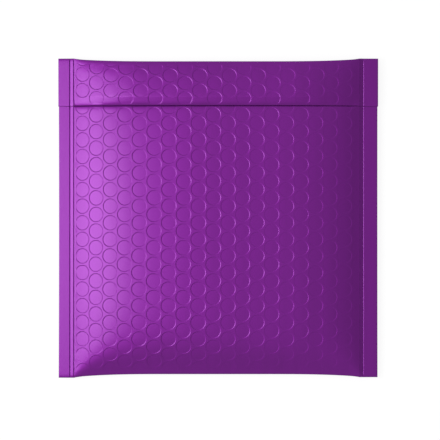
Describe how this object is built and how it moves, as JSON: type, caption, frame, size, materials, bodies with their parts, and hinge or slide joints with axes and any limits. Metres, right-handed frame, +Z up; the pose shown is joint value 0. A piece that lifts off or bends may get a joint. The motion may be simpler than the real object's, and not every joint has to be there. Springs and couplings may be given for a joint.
{
  "type": "padded envelope",
  "caption": "Square padded mailing envelope of purple metallic bubble-lined film, plumped up, with flat welded side seals, a folded bottom edge and a stuck-down flap.",
  "frame": {"origin": "under the centre of the envelope's outline, on the surface that its back rests on", "axes": "+X across the width, to the right when the flap side is seen with the flap at the top; +Y from the bottom fold to the top fold; +Z up, out of the flap side"},
  "size_m": [0.22, 0.22, 0.016],
  "materials": {
    "metallic_film": "satin metallic purple film"
  },
  "bodies": {
    "root": {"padded_envelope": "metallic_film"}
  },
  "joints": []
}
